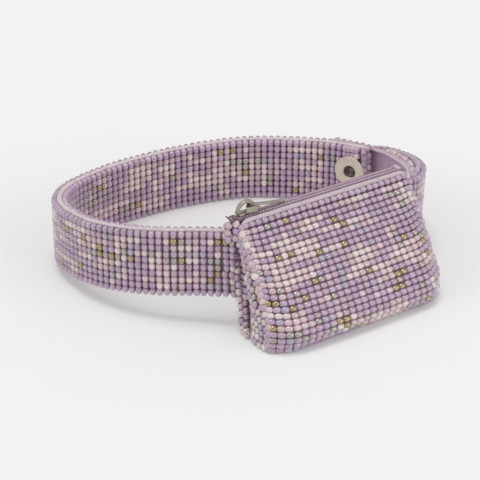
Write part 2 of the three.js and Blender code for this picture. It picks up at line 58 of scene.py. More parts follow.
STRAP_ROUTE = [
    (-42.9, 17.8, 13.8), (-52, 26.6, 13), (-62.6, 36.4, 11.8), (-73.1, 51.8, 9.5), (-78.8, 71.1, 6.5),
    (-77.4, 95, 3.5), (-65.8, 110.6, 0.8), (-45.5, 117.8, 0), (-21.5, 118.9, 0), (2.5, 116, 0),
    (26.2, 108.6, 0), (42.7, 96.4, 0.4), (54.8, 81.4, 1.7), (63, 66.2, 2.6),
]


class Route:
    """A smooth line through chosen points, walked by the share of its length."""

    def __init__(self, points, side=1):
        self.side = side
        self.knots = [Vector(point) for point in points]
        self.walked = [(0.0, self.knots[0].copy())]
        steps = 40
        for span in range(len(self.knots) - 1):
            for step in range(1, steps + 1):
                point = self.between(span, step / steps)
                last = self.walked[-1]
                self.walked.append((last[0] + (point - last[1]).length, point))
        self.length = self.walked[-1][0]

    def between(self, span, part):
        knots = self.knots
        start, end = knots[span], knots[span + 1]
        before = knots[span - 1] if span > 0 else start * 2 - end
        after = knots[span + 2] if span + 2 < len(knots) else end * 2 - start
        first = (start - before).length ** 0.5
        middle = (end - start).length ** 0.5
        last = (after - end).length ** 0.5
        leave = (start - before) / first - (end - before) / (first + middle) + (end - start) / middle
        arrive = (end - start) / middle - (after - start) / (middle + last) + (after - end) / last
        leave *= middle
        arrive *= middle
        cubic = start * 2 - end * 2 + leave + arrive
        square = end * 3 - start * 3 - leave * 2 - arrive
        return start + leave * part + square * part ** 2 + cubic * part ** 3

    def point(self, share):
        target = min(max(share, 0.0), 1.0) * self.length
        low, high = 0, len(self.walked) - 1
        while high - low > 1:
            middle = (low + high) // 2
            if self.walked[middle][0] <= target:
                low = middle
            else:
                high = middle
        before, after = self.walked[low], self.walked[high]
        return before[1].lerp(after[1], (target - before[0]) / (after[0] - before[0]))

    def tangent(self, share):
        step = 0.002
        return (self.point(share + step) - self.point(share - step)).normalized()

    def outward(self, share):
        along = self.tangent(share)
        return Vector((-along.y, along.x, 0)).normalized() * self.side

    def at(self, share, outwards, up):
        place = self.point(share)
        place.z = max(0.0, place.z) + up
        return place + self.outward(share) * outwards


strap = Route([Vector(point) * MM for point in STRAP_ROUTE])
strap_columns = round(strap.length / BEAD_COLUMN)
strap_seam = Vector((strap.tangent(0).x, strap.tangent(0).y, 0)).normalized()

# The melange: lilac and mauve ground with runs of pale pink and cream, some silver and a few gold beads
LILACS = [
    (180, 154, 179), (172, 146, 168), (185, 162, 183), (176, 150, 166), (182, 156, 172), (170, 144, 173),
]
PINKS = [(206, 180, 186), (212, 188, 192), (196, 170, 174)]
CREAMS = [(215, 200, 196), (209, 193, 192), (220, 206, 201)]
BLUES = [(168, 158, 178), (162, 154, 172)]
SILVERS = [(172, 168, 160), (164, 160, 152)]
GOLDS = [(172, 152, 108), (162, 144, 102)]


def linear(color):
    """A colour as seen on a screen, from 0 to 255, as the linear colour that a material takes."""
    return tuple(
        (value / 255 / 12.92) if value <= 10 else ((value / 255 + 0.055) / 1.055) ** 2.4 for value in color)


def melange(column, row, patch, chance, spread):
    """The colour and the metal share of the bead at that column and row of a woven patch."""
    where = Vector((column / spread[0], row / spread[1], patch * 7.3))
    cluster = noise.noise(where) + 0.3 * noise.noise(where * 2.7)
    shine = noise.noise(Vector((column / 2.3, row / 1.5, patch * 7.3 + 40)))
    draw = chance.random()
    if shine > 0.42 and draw < 0.6:
        return (chance.choice(SILVERS), 0.6) if draw < 0.36 else (chance.choice(GOLDS), 0.75)
    if draw > 0.985:
        return chance.choice(GOLDS), 0.75
    if draw > 0.965:
        return chance.choice(SILVERS), 0.6
    if cluster > 0.1:
        return (chance.choice(CREAMS), 0.0) if draw < 0.5 else (chance.choice(PINKS), 0.0)
    if cluster > 0.02 and draw < 0.45:
        return chance.choice(PINKS), 0.0
    if draw < 0.1:
        return chance.choice(BLUES), 0.0
    return chance.choice(LILACS), 0.0


def border(chance):
    return chance.choice(LILACS), 0.0


def model_bead():
    """One seed bead: a short glass tube with rounded ends, turned up from its hole."""
    bpy.ops.object.select_all(action="DESELECT")
    bpy.ops.mesh.primitive_circle_add(vertices=9, radius=0.24, location=(0, 0, -0.84), fill_type="NOTHING")
    bead = bpy.context.object
    bpy.ops.object.mode_set(mode="EDIT")
    bpy.ops.mesh.select_all(action="SELECT")
    radius, height = 0.24, -0.84
    for next_radius, next_height in [
            (0.5, -0.97), (0.83, -0.64), (1.0, 0.0), (0.83, 0.64), (0.5, 0.97), (0.24, 0.84)]:
        rise = (0, 0, next_height - height)
        bpy.ops.mesh.extrude_region_move(TRANSFORM_OT_translate={"value": rise})
        grow = next_radius / radius
        bpy.ops.transform.resize(value=(grow, grow, 1), center_override=(0, 0, next_height))
        radius, height = next_radius, next_height
    bpy.ops.mesh.select_all(action="DESELECT")
    bpy.ops.mesh.select_non_manifold()
    bpy.ops.mesh.bridge_edge_loops()
    bpy.ops.mesh.select_all(action="SELECT")
    bpy.ops.mesh.normals_make_consistent(inside=False)
    bpy.ops.object.mode_set(mode="OBJECT")
    bpy.ops.object.transform_apply(location=True, rotation=True, scale=True)
    return bead


bead_form = model_bead()
bead_corners = [vertex.co.copy() for vertex in bead_form.data.vertices]
bead_faces = [tuple(face.vertices) for face in bead_form.data.polygons]
bpy.data.objects.remove(bead_form)


def string_beads(name, beads):
    """Beads laid on a piece: each has its centre, its hole's direction, its size, colour and metal share."""
    corners, faces, colors, metals = [], [], [], []
    for centre, hole, outward, size, color, metal in beads:
        axis = hole.normalized()
        across = axis.cross(outward).normalized()
        facing = across.cross(axis)
        turn = Matrix((across, facing, axis)).transposed()
        scale = Matrix.Diagonal((BEAD_RADIUS * size[0], BEAD_RADIUS * size[0], BEAD_HALF_LENGTH * size[1]))
        move = turn @ scale
        first = len(corners)
        placed = [move @ corner + centre for corner in bead_corners]
        rise = Vector((0, 0, max(0.0, -min(corner.z for corner in placed))))
        corners.extend(corner + rise for corner in placed)
        faces.extend(tuple(index + first for index in face) for face in bead_faces)
        tint = (*linear(color), 1.0)
        colors.extend(tint * len(bead_corners))
        metals.extend([metal] * len(bead_corners))
    mesh = bpy.data.meshes.new(name)
    mesh.from_pydata(corners, [], faces)
    mesh.attributes.new("bead_color", "FLOAT_COLOR", "POINT").data.foreach_set("color", colors)
    mesh.attributes.new("bead_metal", "FLOAT", "POINT").data.foreach_set("value", metals)
    mesh.polygons.foreach_set("use_smooth", [True] * len(mesh.polygons))
    piece = bpy.data.objects.new(name, mesh)
    bpy.context.scene.collection.objects.link(piece)
    return piece


class Value:
    """A socket in shader maths, so that a pattern reads as an expression."""

    def __init__(self, paint, socket):
        self.paint = paint
        self.socket = socket

    def maths(self, operation, *others):
        values = [self, *others]
        settings = {"operation": operation}
        return self.paint.node("ShaderNodeMath", settings, {i: v for i, v in enumerate(values)})["Value"]

    def __add__(self, other): return self.maths("ADD", other)
    def __radd__(self, other): return self.maths("ADD", other)
    def __sub__(self, other): return self.maths("SUBTRACT", other)
    def __rsub__(self, other): return self.paint.number(other).maths("SUBTRACT", self)
    def __mul__(self, other): return self.maths("MULTIPLY", other)
    def __rmul__(self, other): return self.maths("MULTIPLY", other)
    def __pow__(self, other): return self.maths("POWER", other)


class Paint:
    """A material with its shader, its nodes made by one method."""

    def __init__(self, name):
        self.material = bpy.data.materials.new(name)
        self.material.use_nodes = True
        self.tree = self.material.node_tree
        self.shader = next(node for node in self.tree.nodes if node.type == "BSDF_PRINCIPLED")

    def node(self, kind, settings=None, sockets=None):
        node = self.tree.nodes.new(kind)
        for name, value in (settings or {}).items():
            setattr(node, name, value)
        for name, value in (sockets or {}).items():
            self.join(value, node.inputs[name])
        return {output.name: Value(self, output) for output in node.outputs if output.enabled}

    def number(self, value):
        return self.node("ShaderNodeMath", {"operation": "ADD"}, {0: value, 1: 0.0})["Value"]

    def join(self, value, socket):
        if isinstance(value, Value):
            self.tree.links.new(value.socket, socket)
        else:
            socket.default_value = value

    def set(self, **sockets):
        for name, value in sockets.items():
            self.join(value, self.shader.inputs[name.replace("_", " ")])

    def place(self):
        return self.node("ShaderNodeTexCoord")["Object"]

    def noise(self, scale, detail=2.0, roughness=0.5):
        values = {"Vector": self.place(), "Scale": scale, "Detail": detail, "Roughness": roughness}
        return list(self.node("ShaderNodeTexNoise", None, values).values())[0]

    def blend(self, factor, first, second):
        mix = self.tree.nodes.new("ShaderNodeMix")
        mix.data_type = "RGBA"
        self.join(factor, mix.inputs[0])
        self.join(first, mix.inputs[6])
        self.join(second, mix.inputs[7])
        return Value(self, mix.outputs[2])

    def bump(self, height, strength, distance):
        sockets = {"Height": height, "Strength": strength, "Distance": distance}
        return self.node("ShaderNodeBump", None, sockets)["Normal"]


def bead_glass():
    """Lustred glass in each bead's own colour, clouded a little, and metal-lined where the bead says so."""
    paint = Paint("bead_glass")
    own = paint.node("ShaderNodeAttribute", {"attribute_name": "bead_color"})["Color"]
    metal = paint.node("ShaderNodeAttribute", {"attribute_name": "bead_metal"})["Fac"]
    cloud = paint.noise(520.0)
    deep = paint.node(
        "ShaderNodeVectorMath", {"operation": "MULTIPLY"}, {0: own, 1: (0.84, 0.78, 0.84)})["Vector"]
    paint.set(Base_Color=paint.blend(cloud * 0.55, own, deep))
    paint.set(Roughness=0.22 + cloud * 0.12, Metallic=metal, IOR=1.6)
    paint.shader.inputs["Coat Weight"].default_value = 1.0
    paint.shader.inputs["Coat IOR"].default_value = 1.75
    paint.shader.inputs["Coat Roughness"].default_value = 0.14
    return paint.material


bead_material = bead_glass()


def dress(piece, material, body, slot, *nodes):
    piece.data.materials.clear()
    piece.data.materials.append(material)
    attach(piece, body)
    if nodes:
        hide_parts(*nodes)
    return piece


ROOT = "pouch_and_strap"
SNAP_FROM_END = 7.3 * MM
SNAP_HEIGHT = 17.0 * MM
STRAP_SPREAD = (2.2, 1.5)
snap_share = 1 - SNAP_FROM_END / strap.length


def strap_beads(name, facing, patch, clear):
    """One face of the strap, bare under the press-stud, with one bead more at the seam in each row."""
    chance = random.Random(patch)
    beads = []
    for row in range(STRAP_ROWS):
        up = (row + 0.5) * STRAP_ROW
        lean = STRAP_SEAM_LEAN * (1 - (row + 0.5) / STRAP_ROWS)
        wide = lean > 0.55 * STRAP_SEAM_LEAN
        for column in range(-1, strap_columns):
            share = max(0, column + 0.5) / strap_columns
            back = 0.0
            if column < 1:
                share = 0.5 / strap_columns
                back = 0.2 * lean + (2.6 * MM if column < 0 else 0)
                if wide:
                    back = (BEAD_COLUMN + lean) * (0.25 if column == 0 else 0.75) - BEAD_COLUMN / 2
            elif column > strap_columns - 4:
                end_lean = STRAP_END_LEAN * row / STRAP_ROWS + MM
                share -= end_lean * (column - strap_columns + 4) / 3 / strap.length
            if math.hypot((share - snap_share) * strap.length, up - SNAP_HEIGHT) < clear:
                continue
            color, metal = melange(column, row, patch, chance, STRAP_SPREAD)
            if row in (0, STRAP_ROWS - 1):
                color, metal = border(chance)
            # Painted light: the inner face's beads are made 9% lighter, standing in for light that the shade
            # inside the loop takes away.
            if facing < 0:
                color = [value * 1.09 for value in color]
            sway = Vector([chance.uniform(-0.07, 0.07) for _ in range(3)]) * MM
            centre = strap.at(share, facing * STRAP_BEAD_OFFSET, up) + sway - strap_seam * back
            tilt = Vector((chance.uniform(-0.06, 0.06), chance.uniform(-0.06, 0.06), 1))
            size = (chance.uniform(0.98, 1.05), chance.uniform(1.0, 1.06))
            beads.append((centre, tilt, strap.outward(share) * facing, size, color, metal))
    return string_beads(name, beads)


dress(strap_beads("strap_outer_beads", 1, 11, 3.0 * MM), bead_material, ROOT, "beads", "strap_band")
dress(strap_beads("strap_inner_beads", -1, 12, 6.0 * MM), bead_material, ROOT, "beads", "strap_band")


def cloth(name, columns, rows, place, thickness):
    """A piece of cloth laid over a grid of places, and given its thickness inwards and outwards alike."""
    bpy.ops.object.select_all(action="DESELECT")
    bpy.ops.mesh.primitive_grid_add(x_subdivisions=columns, y_subdivisions=rows, size=2)
    piece = bpy.context.object
    piece.name = name
    for vertex in piece.data.vertices:
        across, up = (vertex.co.x + 1) / 2, (vertex.co.y + 1) / 2
        vertex.co = place(across, up)
    wall = piece.modifiers.new("wall", "SOLIDIFY")
    wall.thickness = thickness
    wall.offset = 0
    soft = piece.modifiers.new("soft", "BEVEL")
    soft.width = min(thickness * 0.3, 0.4 * MM)
    soft.segments = 2
    soft.limit_method = "ANGLE"
    for modifier in ("wall", "soft"):
        bpy.ops.object.modifier_apply(modifier=modifier)
    bpy.ops.object.shade_smooth_by_angle(angle=math.radians(50))
    return piece


def cotton(name, color, shade, weave):
    """Plain-woven cotton: fine crossing threads, with a slight fade and fuzz."""
    paint = Paint(name)
    fade = paint.noise(160.0, 4.0)
    threads = paint.node("ShaderNodeTexVoronoi", None, {"Vector": paint.place(), "Scale": weave})["Distance"]
    base = paint.blend(fade * 0.9, (*linear(color), 1), (*linear(shade), 1))
    paint.set(
        Base_Color=base, Roughness=0.78 + fade * 0.2, Normal=paint.bump(threads + fade * 0.6, 0.5, 0.0002))
    paint.shader.inputs["Sheen Weight"].default_value = 0.25
    return paint.material


core_cotton = cotton("core_cotton", (150, 116, 132), (122, 92, 108), 2600.0)
edge_cotton = cotton("edge_cotton", (220, 206, 208), (194, 178, 184), 1300.0)
lining_cotton = cotton("lining_cotton", (196, 166, 190), (168, 138, 164), 2200.0)
binding_cotton = cotton("binding_cotton", (208, 193, 198), (180, 163, 172), 1000.0)


def strap_core_place(across, up):
    """The core runs on to the slanted seam, and a little past it into the pouch's side."""
    seam = STRAP_SEAM_LEAN * (1 - up) + 1.4 * MM
    return strap.at(across, 0, (0.9 + 27.2 * up) * MM) - strap_seam * max(0, 1 - across * strap_columns) * seam


strap_core = cloth("strap_core", strap_columns, 6, strap_core_place, 3.2 * MM)
dress(strap_core, core_cotton, ROOT, "lining", "strap_band")


def rough_edge(route, across, outwards, up, seed):
    """A place on a thread-covered edge, which is a little lumpy."""
    lump = noise.noise(Vector((across * 170, outwards / MM * 1.1, seed))) * 0.4 * MM
    return route.at(across, outwards, up + lump)


strap_edge = cloth(
    "strap_edge", strap_columns * 4, 4,
    lambda across, up: rough_edge(strap, across, (up - 0.5) * 1.9 * MM, 28.6 * MM, 3), 0.9 * MM)
dress(strap_edge, edge_cotton, ROOT, "trim", "strap_band")


def strap_end_place(across, up):
    """The strap's free end: the core's cloth folded round it, from face to face."""
    turn = math.pi * (up - 0.5)
    crease = noise.noise(Vector((across * 7, up * 2, 9))) * 0.25 * MM
    reach = 1.9 * MM * math.cos(turn) + crease
    reach -= STRAP_END_LEAN * across
    return strap.at(1, 2.6 * MM * math.sin(turn), (0.6 + 28.2 * across) * MM) + strap.tangent(1) * reach


strap_end = cloth("strap_end_fold", 24, 12, strap_end_place, 0.8 * MM)
dress(strap_end, lining_cotton, ROOT, "lining", "strap_band")


def strap_end_beads():
    """Beads sewn over the fold by hand, in two uneven lines."""
    chance = random.Random(13)
    beads = []
    for row in range(STRAP_ROWS):
        for outwards, reach in ((-1.9, 0.9), (-0.1, 1.9)):
            up = (row + 0.5 + (0.3 if outwards > -1 else 0)) * STRAP_ROW * 0.97 + 0.3 * MM
            sway = Vector([chance.uniform(-0.25, 0.25) for _ in range(3)]) * MM
            out = (reach - STRAP_END_LEAN / MM * row / STRAP_ROWS) * MM
            centre = strap.at(1, outwards * MM, up) + strap.tangent(1) * out + sway
            centre.z = max(centre.z, BEAD_HALF_LENGTH)
            tilt = Vector((chance.uniform(-0.3, 0.3), chance.uniform(-0.3, 0.3), 1))
            size = (chance.uniform(0.86, 0.98), chance.uniform(0.86, 0.98))
            draw = chance.random()
            color = chance.choice(LILACS if draw < 0.65 else PINKS if draw < 0.85 else CREAMS)
            beads.append((centre, tilt, strap.tangent(1), size, color, 0.0))
    return string_beads("strap_end_beads", beads)


dress(strap_end_beads(), bead_material, ROOT, "beads", "strap_band")


# Tab: the loop's short end, beads outside and mauve cotton inside with a pale bound edge. It is sewn to the
# pouch's right side and laps over the outside of the strap's free end, where the press-stud holds it.
TAB_CORE = 1.8 * MM
TAB_LINING = 0.7 * MM
TAB_LAYER_GAP = 0.3 * MM
TAB_LINING_SAG = 1.1 * MM
TAB_BASE = 0.4 * MM
TAB_OVERLAP = 19 * MM
SNAP_GAP = 2.1 * MM
TAB_ROUTE_START = [
    (42.2, 16.4, 13.2), (52.3, 20, 10.5), (61.6, 28.7, 8), (68.2, 39.9, 4.8), (71.6, 51.3, 2.3),
    (71.8, 61.3, 1),
]
TAB_STAND_OFF = STRAP_CORE / 2 + SNAP_GAP + TAB_LINING + TAB_LAYER_GAP + TAB_CORE / 2
tab_end = []
for part in (0, 0.5, 1):
    lap = strap.at(1 - part * TAB_OVERLAP / strap.length, TAB_STAND_OFF, 0)
    lap.z = TAB_BASE
    tab_end.append(lap)
tab = Route([Vector(point) * MM for point in TAB_ROUTE_START] + tab_end, side=-1)
tab_columns = round(tab.length / BEAD_COLUMN)
tab_snap_share = 1 - (TAB_OVERLAP - SNAP_FROM_END) / tab.length
tab_snap_height = SNAP_HEIGHT + strap.point(snap_share).z - TAB_BASE


def tab_width(share):
    """The tab is broad and slack beside the pouch, and lies flat where it laps the strap."""
    return math.sin(math.pi * min(1, share / 0.78)) ** 0.7 if share < 0.78 else 0.0


def tab_beads():
    chance = random.Random(21)
    beads = []
    for column in range(tab_columns):
        share = (column + 0.5) / tab_columns
        for row in range(STRAP_ROWS):
            up = (row + 0.5) * STRAP_ROW
            if math.hypot((share - tab_snap_share) * tab.length, up - tab_snap_height) < 5.0 * MM:
                continue
            color, metal = melange(column, row, 21, chance, STRAP_SPREAD)
            if row in (0, STRAP_ROWS - 1):
                color, metal = border(chance)
            sway = Vector([chance.uniform(-0.07, 0.07) for _ in range(3)]) * MM
            broad = tab_width(share) * row / STRAP_ROWS * MM
            centre = tab.at(share, 0.6 * MM + 1.3 * broad, up + 1.2 * broad) + sway
            tilt = Vector((chance.uniform(-0.06, 0.06), chance.uniform(-0.06, 0.06), 1))
            size = (chance.uniform(0.98, 1.05), chance.uniform(1.0, 1.06))
            beads.append((centre, tilt, tab.outward(share), size, color, metal))
    return string_beads("tab_beads", beads)


def tab_top_beads():
    """Beads over the tab's upper edge, in two lines where it is broad."""
    chance = random.Random(22)
    beads = []
    for outwards, spread, rise in ((-0.9, 0.4, 1.5), (-1.4, -1.7, 0.9)):
        for column in range(round(tab_columns * 0.78)):
            share = (column + 0.5) / tab_columns
            broad = tab_width(share)
            if spread < 0 and broad < 0.45:
                continue
            color, metal = border(chance) if spread > 0 else melange(column, 0, 22, chance, STRAP_SPREAD)
            sway = Vector([chance.uniform(-0.2, 0.2) for _ in range(3)]) * MM
            centre = tab.at(share, (outwards + spread * broad) * MM, (28.6 + rise * broad) * MM) + sway
            size = (chance.uniform(0.88, 0.98), chance.uniform(0.88, 0.98))
            beads.append((centre, tab.tangent(share), Vector((0, 0, 1)), size, color, metal))
    return string_beads("tab_top_beads", beads)


dress(tab_beads(), bead_material, ROOT, "beads", "tab_band")
dress(tab_top_beads(), bead_material, ROOT, "beads", "tab_band")
tab_core = cloth(
    "tab_core", tab_columns, 6,
    lambda across, up: tab.at(across, -0.35 * MM, (0.8 + 27.4 * up) * MM), 1.1 * MM)
dress(tab_core, core_cotton, ROOT, "lining", "tab_band")


def lining_depth(share):
    sag = TAB_LINING_SAG * math.sin(math.pi * min(1, share / 0.85)) ** 2
    return -TAB_CORE / 2 - TAB_LAYER_GAP - sag - TAB_LINING / 2 - 2.6 * MM * tab_width(share)


def tab_lining_place(across, up):
    """The lining lies slack inside the bend, in soft upright folds that end at the bound edge."""
    slack = max(0, 1 - across / 0.7) * min(1, across / 0.1) * math.sin(math.pi * min(1, up / 0.95)) ** 0.5
    fold = 0.5 * MM * slack * (0.5 + 0.5 * math.sin(across * 46 + up * 1.4))
    return tab.at(across, lining_depth(across) - fold, (0.4 + 28.0 * up) * MM)


tab_lining = cloth("tab_lining_cloth", tab_columns * 4, 10, tab_lining_place, TAB_LINING * 0.8)
dress(tab_lining, lining_cotton, ROOT, "lining", "tab_lining")


def tab_cord(name, offset, height, seed):
    """One of the two strands of the bound edge."""
    def place(across, up):
        turn = math.pi * (up - 0.5)
        lump = noise.noise(Vector((across * 60, seed, up))) * 0.12 * MM
        outwards = lining_depth(across) + offset + (0.5 * MM + lump) * math.sin(turn)
        return tab.at(across, outwards, height + (0.45 * MM + lump) * math.cos(turn))
    return cloth(name, tab_columns * 4, 6, place, 0.5 * MM)


dress(tab_cord("tab_binding_inner", -0.35 * MM, 28.4 * MM, 5), binding_cotton, ROOT, "trim", "tab_lining")
dress(tab_cord("tab_binding_outer", 0.75 * MM, 28.6 * MM, 6), binding_cotton, ROOT, "trim", "tab_lining")


# Press-stud: a nickel-plated brass snap. The post's flange shows on the strap's inner face, with the post's
# open eye in its middle; the stud, the socket and the domed cap join the tab to the strap behind it.
SNAP_SEAT = 0.45 * MM


def nickel(name, color, roughness):
    """Nickel plate with fine turning marks and handling haze."""
    paint = Paint(name)
    haze = paint.noise(300.0, 4.0)
    marks = paint.noise(2400.0, 2.0)
    base = paint.blend(haze, (*linear(color), 1), (*linear([value * 0.88 for value in color]), 1))
    paint.set(Base_Color=base, Metallic=1.0, Roughness=roughness + haze * 0.14)
    paint.set(Normal=paint.bump(marks, 0.12, 0.0001))
    return paint.material


snap_nickel = nickel("snap_nickel", (236, 224, 210), 0.42)
# Painted shade: the post's eye takes the same nickel much darker, standing for the shade down in its bore.
painted_shade_nickel = nickel("post_eye_painted_shade_nickel", (120, 112, 102), 0.42)


def turned(name, profile, steps=48):
    """A piece turned on the lathe: its half profile spun about the Z axis."""
    bpy.ops.object.select_all(action="DESELECT")
    bpy.ops.mesh.primitive_circle_add(vertices=len(profile), radius=1, fill_type="NOTHING")
    piece = bpy.context.object
    piece.name = name
    for vertex, (radius, height) in zip(piece.data.vertices, profile):
        vertex.co = (radius * MM, 0, height * MM)
    bpy.ops.object.mode_set(mode="EDIT")
    bpy.ops.mesh.select_all(action="SELECT")
    bpy.ops.mesh.spin(steps=steps, angle=2 * math.pi, center=(0, 0, 0), axis=(0, 0, 1))
    bpy.ops.mesh.select_all(action="SELECT")
    bpy.ops.mesh.remove_doubles(threshold=0.000005)
    bpy.ops.mesh.normals_make_consistent(inside=False)
    bpy.ops.object.mode_set(mode="OBJECT")
    bpy.ops.object.shade_smooth_by_angle(angle=math.radians(35))
    return piece


def set_on_snap(piece, outwards):
    """Puts a turned piece on the snap's axis, which points out of the loop."""
    centre = strap.at(snap_share, outwards, SNAP_HEIGHT)
    turn = Vector((0, 0, 1)).rotation_difference(strap.outward(snap_share))
    piece.data.transform(Matrix.Translation(centre) @ turn.to_matrix().to_4x4())
    return piece


flange = turned("snap_flange_plate", [
    (2.8, -0.2), (2.95, -0.9), (3.2, -1.07), (6.75, -1.1), (7.2, -1.02), (7.4, -0.75), (7.3, -0.3), (6.9, 0),
    (2.8, 0)])
dress(set_on_snap(flange, -STRAP_CORE / 2 - SNAP_SEAT), snap_nickel, ROOT, "nickel", "snap_flange")
post_eye = turned("snap_post_eye", [
    (0.9, 2.2), (1.0, 1.2), (1.7, 0.4), (2.5, -0.1), (2.9, -0.7), (3.0, -0.1), (2.9, 2.2)])
dress(set_on_snap(post_eye, -STRAP_CORE / 2 - SNAP_SEAT), painted_shade_nickel, ROOT, "nickel", "snap_flange")
stud = turned("snap_stud_button", [
    (1.2, 0), (3.8, 0), (3.75, 0.3), (3.3, 0.55), (3.55, 0.8), (3.5, 1.05), (3.0, 1.2), (1.2, 1.2)])
dress(set_on_snap(stud, STRAP_CORE / 2 + SNAP_SEAT), snap_nickel, ROOT, "nickel", "snap_stud")
socket = turned("snap_socket_ring", [
    (4.1, -1.2), (5.4, -1.2), (5.9, -0.95), (6.0, -0.6), (6.0, 0), (4.1, 0)])
dress(set_on_snap(socket, STRAP_CORE / 2 + SNAP_GAP - SNAP_SEAT), snap_nickel, ROOT, "nickel", "snap_socket")
cap = turned("snap_cap_dome", [
    (0.01, 0), (5.9, 0), (6.2, 0.25), (6.15, 0.6), (5.6, 0.95), (4.4, 1.15), (2.4, 1.27), (0.01, 1.3)])
dress(set_on_snap(cap, TAB_STAND_OFF + TAB_CORE / 2 + SNAP_SEAT), snap_nickel, ROOT, "nickel", "snap_cap")


# Pouch: front, base and back woven of beads in one piece, with their holes along the rows, on a ground of
# cotton. The section is a wedge; the stuffed walls stand full in the middle and turn in at the ends.
POUCH_HALF_WIDTH = 41 * MM
LEFT_FLARE = 2.2 * MM
RIGHT_FLARE = 1.0 * MM
MOUTH_HEIGHT = 46.8 * MM
POUCH_ROW = 2.6 * MM
FRONT_FULLNESS = 1.6 * MM
FRONT_TURN = 6.2 * MM
BACK_TURN = 2.0 * MM
TURN_FROM = 0.74
BASE_BLEND = 0.07
SECTION = [
    (0, 12.8, 46.8), (0, -8.4, 21.5), (0, -16.2, 7), (0, -13.8, 0), (0, 0, 0), (0, 9, 0), (0, 11.4, 5),
    (0, 19.8, 44.9),
]
POUCH_SPREAD = (4.2, 1.9)
section = Route([Vector(point) * MM for point in SECTION])
section_rows = round(section.length / POUCH_ROW)
pouch_columns = round(2 * POUCH_HALF_WIDTH / BEAD_COLUMN)


def section_point(row, depth):
    """A point of the pouch's section at a depth; rows run from mouth to mouth round the base."""
    share = row / section_rows
    point = section.point(share)
    along = section.tangent(share)
    point = point + Vector((0, -along.z, along.y)) * depth
    point.z = max(0.0, depth, point.z)
    return point


def half_width(height, side):
    flare = LEFT_FLARE if side < 0 else RIGHT_FLARE
    return POUCH_HALF_WIDTH + flare * (1 - min(1, height / MOUTH_HEIGHT)) ** 2


def wall_shift(across, row):
    facing = max(-1, min(1, (0.5 - row / section_rows) / BASE_BLEND))
    width = 1 - min(1, section_point(row, 0).z / MOUTH_HEIGHT) ** 2
    bent = max(0, (abs(across) - TURN_FROM) / (1 - TURN_FROM)) ** 2
    drawn_in = 1 - 1.7 * max(0, 1 - section_point(row, 0).z / (6 * MM))
    outwards = (
        drawn_in * FRONT_FULLNESS * (1 - across ** 2) - FRONT_TURN * bent if facing > 0
        else -BACK_TURN * bent)
    return -facing * width * outwards


def wall_point(across, row, depth):
    point = section_point(row, depth)
    half = half_width(section_point(row, 0).z, across)
    return Vector((half * across, point.y + wall_shift(across, row), point.z))


def wall_facing(across, row):
    """The direction along the row and the outward direction of the wall at a point."""
    along = (wall_point(across + 0.02, row, 0) - wall_point(across - 0.02, row, 0)).normalized()
    upward = wall_point(across, row - 0.4, 0) - wall_point(across, row + 0.4, 0)
    return along, along.cross(upward).normalized()


def row_places(row):
    """Evenly spaced places along a bent row, and how far apart they stand."""
    points = [wall_point(step / 40 - 1, row, 0) for step in range(81)]
    run = [0.0]
    for first, second in zip(points, points[1:]):
        run.append(run[-1] + (second - first).length)
    pitch = run[-1] / pouch_columns
    places, step = [], 0
    for column in range(pouch_columns):
        while run[step + 1] < (column + 0.5) * pitch:
            step += 1
        part = ((column + 0.5) * pitch - run[step]) / (run[step + 1] - run[step])
        places.append((step + part) / 40 - 1)
    return places, pitch


def pouch_beads(name, first_row, last_row, patch):
    chance = random.Random(patch)
    beads = []
    for row in range(first_row, last_row):
        places, pitch = row_places(row + 0.5)
        for column, across in enumerate(places):
            color, metal = melange(column, row, patch, chance, POUCH_SPREAD)
            if row == 0:
                color, metal = border(chance)
            along, outward = wall_facing(across, row + 0.5)
            sway = Vector([chance.uniform(-0.08, 0.08) for _ in range(3)]) * MM
            centre = wall_point(across, row + 0.5, 0.45 * MM) + sway
            if row < 2:
                centre += Vector((0, -0.3, 0.6)) * MM / (row + 1)
            centre.z = max(centre.z, BEAD_RADIUS)
            hole = along + Vector((0, chance.uniform(-0.06, 0.06), chance.uniform(-0.06, 0.06)))
            size = (chance.uniform(0.93, 1.0), chance.uniform(1.02, 1.1) * pitch / BEAD_COLUMN)
            beads.append((centre, hole, outward, size, color, metal))
    return string_beads(name, beads)


front_rows = section_rows // 2
dress(pouch_beads("pouch_front_beads", 0, front_rows, 31), bead_material, ROOT, "beads", "pouch_shell")
back_beads = pouch_beads("pouch_back_beads", front_rows, section_rows, 32)
dress(back_beads, bead_material, ROOT, "beads", "pouch_shell")


def pouch_ground_place(across, up):
    return wall_point((2 * across - 1) * 0.99, section_rows * up, 0.95 * MM)


pouch_ground = cloth("pouch_ground", 24, section_rows * 2, pouch_ground_place, 0.9 * MM)
dress(pouch_ground, core_cotton, ROOT, "lining", "pouch_shell")


# Gussets: the pouch's two beaded ends, full in their front half with a fold behind it, and the corners where
# they join the walls, oversewn by hand with larger beads that stand a little out of line.
GUSSET_FOLD = 5.5 * MM
GUSSET_ROWS = 17
KNOT_BEADS = [
    (-44.6, 15.8, 46.2), (-42.4, 14.2, 47.0), (-44.9, 16.0, 43.2), (-42.7, 13.7, 44.2), (-45.0, 15.6, 40.2),
    (-43.1, 13.4, 41.2), (-44.2, 18.0, 45.0), (-43.6, 17.4, 41.8), (-42.2, 16.6, 47.6),
]
END_FIT = 0.5 * MM


def wall_row(height, depth, toward):
    """The row at which the front wall (toward 0) or the back wall (toward 1) reaches a height."""
    middle = section_rows / 2
    low, high = (middle, 0.0) if toward == 0 else (middle, float(section_rows))
    for _ in range(22):
        half = (low + high) / 2
        if section_point(half, depth).z < height:
            low = half
        else:
            high = half
    return low


def folded(across):
    return 1 - abs(2 * across - 1)


def puffed(across):
    """The end's front half stands full, and the fold lies behind it."""
    if across < 0.58:
        return -0.22 * math.sin(math.pi * across / 0.58)
    return 0.85 * (1 - abs((across - 0.58) / 0.21 - 1))


